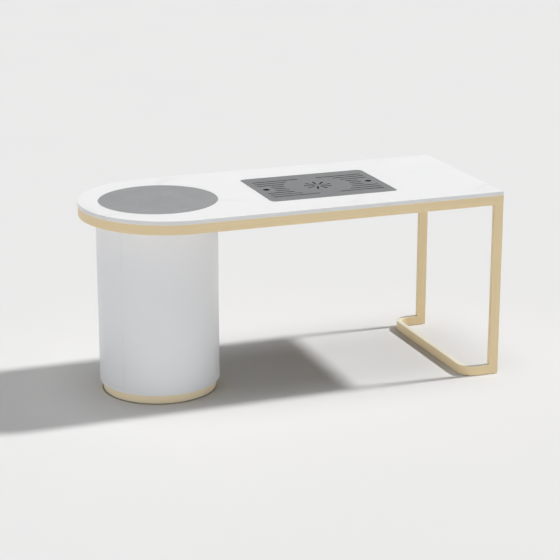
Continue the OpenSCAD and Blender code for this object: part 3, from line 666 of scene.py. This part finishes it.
def turned_metal(centre):
    """Aluminium turned about an upright axis through centre."""
    s = Shader("motor_metal")
    dark, light = (0.52, 0.525, 0.53), (0.68, 0.68, 0.685)
    x, y, z = s.axes(s.vector_math("SUBTRACT", {0: s.place, 1: centre}))
    around = s.math("SQRT", s.plus(s.math("POWER", x, 2.0), s.math("POWER", y, 2.0)))
    rings = s.add("ShaderNodeCombineXYZ", {0: around, 1: 0.0, 2: z}).outputs[0]
    lines = s.noise(s.stretch(rings, (2600.0, 1.0, 2600.0)), rough=0.6)
    colour = s.mix(s.remap(lines, NARROW, UNIT), dark, light)
    rough = s.remap(lines, NARROW, (0.24, 0.40))
    return s.surface(colour, rough, s.bump(lines, distance=0.01 * MM, strength=0.5), metallic=1.0)


# The gold's colour for upper faces is a painted highlight.
GOLD = dict(
    low=(0.790, 0.626, 0.370), high=(0.870, 0.702, 0.425), worn=(0.95, 0.84, 0.62),
    rough_range=(0.44, 0.56), metallic=0.10, top=(1.0, 0.95, 0.80), coat_weight=0.2, coat_roughness=0.4,
)
# Lighter copy of the gold, a painted light, for the plinth band in the table's shadow.
PAINTED_LIGHT_GOLD = dict(
    low=(0.950, 0.800, 0.540), high=(0.980, 0.860, 0.610), worn=(0.95, 0.86, 0.66),
    rough_range=(0.60, 0.72), metallic=0.05, coat_weight=0.3, coat_roughness=0.4,
)
# The steel's wall colour is a near-black painted shade on all its upright walls.
STEEL = dict(
    low=(0.315, 0.320, 0.326), high=(0.395, 0.400, 0.407), worn=(0.50, 0.50, 0.51),
    rough_range=(0.36, 0.48), metallic=0.60, cut=(0.030, 0.031, 0.032),
)
PLASTIC = dict(
    dark=(0.020, 0.020, 0.022), light=(0.034, 0.034, 0.036), rough_range=(0.42, 0.56),
    grain=1500.0, depth=0.05 * MM,
)
RUBBER = dict(
    dark=(0.022, 0.022, 0.022), light=(0.040, 0.039, 0.038), rough_range=(0.78, 0.92),
    grain=900.0, depth=0.08 * MM,
)
GUARD_PAINT = dict(
    dark=(0.018, 0.018, 0.019), light=(0.030, 0.030, 0.031), rough_range=(0.38, 0.50),
    grain=2200.0, depth=0.06 * MM,
)

stone = white_stone()
inlay = grey_stone()
gold = brushed("gold_steel", **GOLD)
painted_light_gold = brushed("gold_steel_painted_light", **PAINTED_LIGHT_GOLD)
steel = brushed("grey_steel", **STEEL)
zinc = zinc_plate()
white = lacquer()
motor_lo, motor_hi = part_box("fan_motor")

CARRIED_MATERIALS = {
    "plywood": plywood(),
    "gold_steel": brushed("gold_steel_unmapped", mapped=False, **GOLD),
    "zinc_steel": zinc,
    "white_lacquer": white,
    "grey_steel": brushed("grey_steel_unmapped", mapped=False, **STEEL),
    "black_rubber": plastic("black_rubber", **RUBBER),
    "black_plastic": plastic("black_plastic", **PLASTIC),
    "wire_guard": plastic("wire_guard", **GUARD_PAINT),
    "filter_paper": pleated_paper(),
    "motor_metal": turned_metal(tuple((motor_lo + motor_hi) / 2)),
}


# ---------------------------------------------------------------- worktop and inlay

SLAB_CORNER = 1.5 * MM
SLAB_TOP_EDGE, SLAB_LOW_EDGE = 1.0 * MM, 0.6 * MM
DISC_TOP_EDGE, DISC_LOW_EDGE = 1.2 * MM, 0.6 * MM
CUTOUT_GAP = 1 * MM  # between the slab and what is let into it
CUTOUT_R = 22 * MM

top_lo, top_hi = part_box("stone_top")
disc_lo, disc_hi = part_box("disc_inlay")
plate_lo, plate_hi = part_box("grille_plate")
top_r = (top_hi.y - top_lo.y) / 2
bow_x = top_lo.x + top_r
disc_x = (disc_lo.x + disc_hi.x) / 2
disc_r = (disc_hi.x - disc_lo.x) / 2
plate_x = (plate_lo.x + plate_hi.x) / 2
plate_l, plate_w = plate_hi.x - plate_lo.x, plate_hi.y - plate_lo.y
corner_x, corner_y = top_hi.x - SLAB_CORNER, top_r - SLAB_CORNER

prism(
    "worktop_slab",
    [
        [
            turn(corner_x, -corner_y, SLAB_CORNER, -90, 0),
            turn(corner_x, corner_y, SLAB_CORNER, 0, 90),
            turn(bow_x, 0, top_r, 90, 270),
        ],
        disc(disc_x, 0, disc_r + CUTOUT_GAP, hole=True),
        round_rect(plate_x, 0, plate_l + 2 * CUTOUT_GAP, plate_w + 2 * CUTOUT_GAP, CUTOUT_R, hole=True),
    ],
    top_lo.z, top_hi.z, stone, TABLE, ["stone_top"], SLAB_TOP_EDGE, SLAB_LOW_EDGE,
)
prism(
    "inlay_disc", [disc(disc_x, 0, disc_r)],
    disc_lo.z, disc_hi.z, inlay, TABLE, ["disc_inlay"], DISC_TOP_EDGE, DISC_LOW_EDGE,
)


# ---------------------------------------------------------------- steel frame

TUBE_EDGE = 1.2 * MM
SEAM_EDGE = 0.25 * MM  # where one tube meets another
FOOT_BEND = 65 * MM
BAND_EDGE, BAND_T = 0.3 * MM, 1 * MM


def steel_bar(name, outlines, z0, z1, edge=TUBE_EDGE, grain="around", face_uv=None, metal=gold):
    return prism(name + "_bar", outlines, z0, z1, metal, TABLE, [name], edge, edge, grain, face_uv)


def bar_outline(lo, hi, outer=None):
    """Rectangle with nearly square corners, but for the outer one, (x side, y side)."""
    arcs = []
    for sx, sy, a in CORNERS:
        r = TUBE_EDGE if (sx, sy) == outer else SEAM_EDGE
        cx = hi.x - r if sx > 0 else lo.x + r
        cy = hi.y - r if sy > 0 else lo.y + r
        arcs.append(turn(cx, cy, r, a, a + 90))
    return arcs


def bow_uv(x, y):
    """Distance along the bow's outside and distance from its centre."""
    return math.atan2(y, bow_x - x) * top_r, math.hypot(x - bow_x, y)


for name, side in (("front_rail", -1), ("rear_rail", 1)):
    lo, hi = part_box(name)
    steel_bar(name, [bar_outline(lo, hi, (1, side))], lo.z, hi.z)
lo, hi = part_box("end_rail")
rail_t = hi.x - lo.x
steel_bar("end_rail", [bar_outline(lo, hi)], lo.z, hi.z, face_uv=lambda x, y: (y, x))
lo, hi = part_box("bow_rail")
bow_outline = ring_sector(bow_x, 0, top_r - rail_t, top_r, 90, 270, SEAM_EDGE)
steel_bar("bow_rail", [bow_outline], lo.z, hi.z, face_uv=bow_uv)
for name in ("front_leg", "rear_leg"):
    lo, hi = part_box(name)
    mid, size = (lo + hi) / 2, hi - lo
    leg_outline = round_rect(mid.x, mid.y, size.x, size.y, TUBE_EDGE)
    steel_bar(name, [leg_outline], lo.z, hi.z, edge=SEAM_EDGE, grain="up")

foot_lo, foot_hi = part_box("foot_bar")
leg_lo, leg_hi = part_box("front_leg")
tube_t = leg_hi.y - leg_lo.y
bend_x, bend_y = foot_lo.x + FOOT_BEND, foot_hi.y - FOOT_BEND


def foot_outline():
    """The U of the foot, open towards the end of the table."""
    inner = FOOT_BEND - tube_t
    end_x = foot_hi.x - SEAM_EDGE
    return [
        turn(bend_x, -bend_y, FOOT_BEND, 180, 270),
        turn(end_x, foot_lo.y + SEAM_EDGE, SEAM_EDGE, -90, 0),
        turn(end_x, foot_lo.y + tube_t - SEAM_EDGE, SEAM_EDGE, 0, 90),
        turn(bend_x, -bend_y, inner, 270, 180),
        turn(bend_x, bend_y, inner, 180, 90),
        turn(end_x, foot_hi.y - tube_t + SEAM_EDGE, SEAM_EDGE, -90, 0),
        turn(end_x, foot_hi.y - SEAM_EDGE, SEAM_EDGE, 0, 90),
        turn(bend_x, bend_y, FOOT_BEND, 90, 180),
    ]


def foot_uv(x, y):
    """Distance along the U and distance across it."""
    if abs(y) < bend_y:
        return y, x - foot_lo.x
    if x > bend_x:
        return math.copysign(bend_y + FOOT_BEND * math.pi / 2 + x - bend_x, y), foot_hi.y - abs(y)
    a = math.atan2(abs(y) - bend_y, bend_x - x)
    across = FOOT_BEND - math.hypot(x - bend_x, abs(y) - bend_y)
    return math.copysign(bend_y + FOOT_BEND * a, y), across


steel_bar("foot_bar", [foot_outline()], foot_lo.z, foot_hi.z, face_uv=foot_uv)
band_lo, band_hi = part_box("plinth_band")
drum_x = (band_lo.x + band_hi.x) / 2
band_r = (band_hi.x - band_lo.x) / 2
# The plinth band wears the lighter gold copy: painted light.
steel_bar(
    "plinth_band", [disc(drum_x, 0, band_r), disc(drum_x, 0, band_r - BAND_T, hole=True)],
    band_lo.z, band_hi.z, edge=BAND_EDGE, metal=painted_light_gold,
)


# ---------------------------------------------------------------- drum

DOOR_HALF = 38.3  # degrees from the door's middle to the openings' sides
HINGE_SEAM, LATCH_SEAM = 0.4, 0.12  # degrees left open at the door's two sides
DOOR_GAP = 0.6 * MM  # above and below the door
BOARD_EDGE = 0.4 * MM
WALL = 15 * MM

shell_lo, shell_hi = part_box("drum_shell")
base_lo, base_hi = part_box("drum_base")
lid_lo, lid_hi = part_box("drum_top")
drum_r = (base_hi.x - base_lo.x) / 2
round_board = disc(drum_x, 0, drum_r)


def drum_board(name, piece, outline, z0, z1, body=TABLE):
    return prism(piece, [outline], z0, z1, white, body, [name], BOARD_EDGE, BOARD_EDGE)


def drum_wall(start, end):
    """Plan of the drum's bent board between two angles in degrees."""
    return ring_sector(drum_x, 0, drum_r - WALL, drum_r, start, end, BOARD_EDGE)


drum_board("drum_shell", "drum_wall", drum_wall(180 + DOOR_HALF, 540 - DOOR_HALF), shell_lo.z, shell_hi.z)
drum_board(
    "drum_door", "curved_door",
    drum_wall(180 - DOOR_HALF + HINGE_SEAM, 180 + DOOR_HALF - LATCH_SEAM),
    base_hi.z + DOOR_GAP, lid_lo.z - DOOR_GAP, body=DOOR,
)
drum_board("drum_base", "drum_floor", round_board, base_lo.z, base_hi.z)
drum_board("drum_top", "drum_lid", round_board, lid_lo.z, lid_hi.z)


# ---------------------------------------------------------------- grille plate

SLOT_W, SLOT_PITCH, SLOT_ROWS = 8 * MM, 30.5 * MM, 9
SLOT_FAR, SLOT_NEAR = 228 * MM, 181 * MM  # outer ends, and those of the rows beside a finger hole
SLOT_CIRCLE, SLOT_LONG = 138 * MM, 42 * MM  # inner ends on a circle, and those of the end rows
FINGER_X, FINGER_R = 216 * MM, 13.5 * MM
RAYS, RAY_FIRST = 9, 90
RAY_IN, RAY_OUT = 12 * MM, 52 * MM
RAY_NARROW, RAY_WIDE = 1.8 * MM, 5 * MM
PLATE_TOP_EDGE, PLATE_LOW_EDGE, PLATE_FADE = 0.35 * MM, 0.2 * MM, 0.5 * MM


def slot_outline(x0, x1, y):
    r = SLOT_W / 2
    return reverse([turn(x1, y, r, -90, 90), turn(x0, y, r, 90, 270)])


def ray_outline(angle):
    """Slot that widens outward from the middle of the plate."""
    c, s = math.cos(math.radians(angle)), math.sin(math.radians(angle))
    narrow = RAY_IN + RAY_NARROW
    return reverse(
        [
            turn(plate_x + RAY_OUT * c, RAY_OUT * s, RAY_WIDE, angle - 90, angle + 90),
            turn(plate_x + narrow * c, narrow * s, RAY_NARROW, angle + 90, angle + 270),
        ]
    )


openings = []
for side in (-1, 1):
    openings.append(disc(plate_x + side * FINGER_X, 0, FINGER_R, hole=True))
    for row in range(SLOT_ROWS):
        i = row - (SLOT_ROWS - 1) / 2
        y = i * SLOT_PITCH
        near = SLOT_LONG if row in (0, SLOT_ROWS - 1) else math.sqrt(SLOT_CIRCLE**2 - y**2)
        far = SLOT_NEAR if abs(i) <= 1 else SLOT_FAR
        ends = sorted((plate_x + side * near, plate_x + side * far))
        openings.append(slot_outline(*ends, y))
for k in range(RAYS):
    openings.append(ray_outline(k * 360 / RAYS + RAY_FIRST))
prism(
    "brushed_grille", [round_rect(plate_x, 0, plate_l, plate_w, CUTOUT_R - CUTOUT_GAP), *openings],
    plate_lo.z, plate_hi.z, steel, GRILLE, ["grille_plate"],
    PLATE_TOP_EDGE, PLATE_LOW_EDGE, fade=PLATE_FADE,
)


# ---------------------------------------------------------------- screws

SMALL_SCREW = dict(
    heads_down=True, shank=2 * MM, head=4 * MM, head_h=2.5 * MM, socket=lobes(1.9 * MM), depth=1.4 * MM
)
fasteners(
    "leg_bolts", heads_down=False,
    shank=4 * MM, head=6.5 * MM, head_h=5 * MM, socket=hexagon(6 * MM), depth=3 * MM,
)
fasteners("board_screws", **SMALL_SCREW)
fasteners(
    "drum_bolts", heads_down=True,
    shank=3 * MM, head=6 * MM, head_h=4 * MM, socket=hexagon(5 * MM), depth=2.4 * MM,
)
fasteners("fan_screws", **SMALL_SCREW)
fasteners(
    "housing_screws", heads_down=True,
    shank=1.75 * MM, head=3.5 * MM, head_h=2.5 * MM, socket=lobes(1.7 * MM), depth=1.4 * MM,
)


# ---------------------------------------------------------------- carried-over CAD nodes

WELD = 0.005 * MM
CREASE, BEVEL_FROM = math.radians(28), math.radians(40)  # edges sharper than these
BEVEL, BEVEL_STEPS = 0.3 * MM, 2


def welded_and_smooth():
    """Geometry nodes that weld a CAD mesh and shade it smooth except at its sharp edges."""
    tree = bpy.data.node_groups.new("welded_and_smooth", "GeometryNodeTree")
    tree.interface.new_socket("Geometry", in_out="INPUT", socket_type="NodeSocketGeometry")
    tree.interface.new_socket("Geometry", in_out="OUTPUT", socket_type="NodeSocketGeometry")
    start = tree.nodes.new("NodeGroupInput")
    end = tree.nodes.new("NodeGroupOutput")
    weld = tree.nodes.new("GeometryNodeMergeByDistance")
    weld.inputs["Distance"].default_value = WELD
    whole = tree.nodes.new("GeometryNodeSetShadeSmooth")
    angle = tree.nodes.new("GeometryNodeInputMeshEdgeAngle")
    over = tree.nodes.new("FunctionNodeCompare")
    over.operation = "GREATER_THAN"
    over.inputs[1].default_value = CREASE
    crease = tree.nodes.new("GeometryNodeSetShadeSmooth")
    crease.domain = "EDGE"
    crease.inputs["Shade Smooth"].default_value = False
    link = tree.links.new
    link(start.outputs[0], weld.inputs[0])
    link(weld.outputs[0], whole.inputs[0])
    link(whole.outputs[0], crease.inputs[0])
    link(angle.outputs[0], over.inputs[0])
    link(over.outputs[0], crease.inputs["Selection"])
    link(crease.outputs[0], end.inputs[0])
    return tree


smooth = welded_and_smooth()
for name, node in frame["nodes"].items():
    if node.hide_render:
        continue
    node.data.materials.clear()
    node.data.materials.append(CARRIED_MATERIALS[NODE_SLOT[name]])
    node.modifiers.new("weld", "NODES").node_group = smooth
    bevel = node.modifiers.new("edges", "BEVEL")
    bevel.width = BEVEL
    bevel.segments = BEVEL_STEPS
    bevel.limit_method = "ANGLE"
    bevel.angle_limit = BEVEL_FROM
    bevel.harden_normals = True


# ---------------------------------------------------------------- floor, light and camera

FLOOR_HALF = 400.0
SUNS = (  # name, direction of its rays, strength, degrees across
    ("key", (-650, 27, -750), 2.62, 5),
    ("overhead", (0.04, 0.02, -1), 0.90, 34),
    ("left_fill", (1, 0.6, -0.2), 0.30, 60),
)
SUNLIGHT, SKYLIGHT = (1.0, 0.992, 0.985), (0.955, 0.98, 1.0)
HORIZON_GLOW, UPPER_GLOW = 2.25, 0.05  # strengths of the world's light
GLOW_TOP = 0.31  # sine of the height at which the horizon's glow ends
CAMERA_PLACE = (-2.3445, -6.2521, 2.3734)
VIEW_AZIMUTH, VIEW_DROP = math.radians(20.565), math.radians(16.652)
SENSOR, LENS = 36, 112.82  # in millimetres
CLIP_START, CLIP_END = 0.1, 1000


def pale_floor():
    """Matt floor with a faint unevenness."""
    s = Shader("pale_floor")
    tone = s.remap(s.noise(s.place, scale=1.2), SPREAD, UNIT)
    colour = s.mix(tone, (0.796, 0.796, 0.798), (0.804, 0.804, 0.804))
    return s.surface(colour, s.remap(tone, UNIT, (0.86, 0.92)), ior=1.3)


floor_corners = [(sx * FLOOR_HALF, sy * FLOOR_HALF, 0.0) for sx, sy in ((-1, -1), (1, -1), (1, 1), (-1, 1))]
floor_mesh = bpy.data.meshes.new("floor")
floor_mesh.from_pydata(floor_corners, [], [(0, 1, 2, 3)])
floor_mesh.materials.append(pale_floor())
floor = bpy.data.objects.new("floor", floor_mesh)
scene = bpy.context.scene
scene.collection.objects.link(floor)

scene.view_settings.view_transform = "Standard"
world = bpy.data.worlds.new("studio")
world.use_nodes = True
sky = world.node_tree
backdrop = sky.nodes["Background"]
backdrop.inputs["Color"].default_value = (*SKYLIGHT, 1.0)
height = sky.nodes.new("ShaderNodeSeparateXYZ")
sky.links.new(sky.nodes.new("ShaderNodeTexCoord").outputs["Generated"], height.inputs[0])
glow = sky.nodes.new("ShaderNodeMapRange")
glow.interpolation_type = "SMOOTHSTEP"
glow.inputs["From Min"].default_value = 0.0
glow.inputs["From Max"].default_value = GLOW_TOP
glow.inputs["To Min"].default_value = HORIZON_GLOW
glow.inputs["To Max"].default_value = UPPER_GLOW
sky.links.new(height.outputs[2], glow.inputs["Value"])
sky.links.new(glow.outputs[0], backdrop.inputs["Strength"])
scene.world = world

for name, ray, energy, angle in SUNS:
    sun = bpy.data.lights.new(name, "SUN")
    sun.color = SUNLIGHT
    sun.energy = energy
    sun.angle = math.radians(angle)
    light = bpy.data.objects.new(name, sun)
    light.rotation_mode = "QUATERNION"
    light.rotation_quaternion = Vector(ray).to_track_quat("-Z", "Y")
    scene.collection.objects.link(light)

camera_data = bpy.data.cameras.new("camera")
camera_data.sensor_width = SENSOR
camera_data.lens = LENS
camera_data.clip_start, camera_data.clip_end = CLIP_START, CLIP_END
camera = bpy.data.objects.new("camera", camera_data)
camera.location = CAMERA_PLACE
ahead = math.cos(VIEW_DROP)
look = Vector((math.sin(VIEW_AZIMUTH) * ahead, math.cos(VIEW_AZIMUTH) * ahead, -math.sin(VIEW_DROP)))
camera.rotation_mode = "QUATERNION"
camera.rotation_quaternion = look.to_track_quat("-Z", "Y")
scene.collection.objects.link(camera)
scene.camera = camera
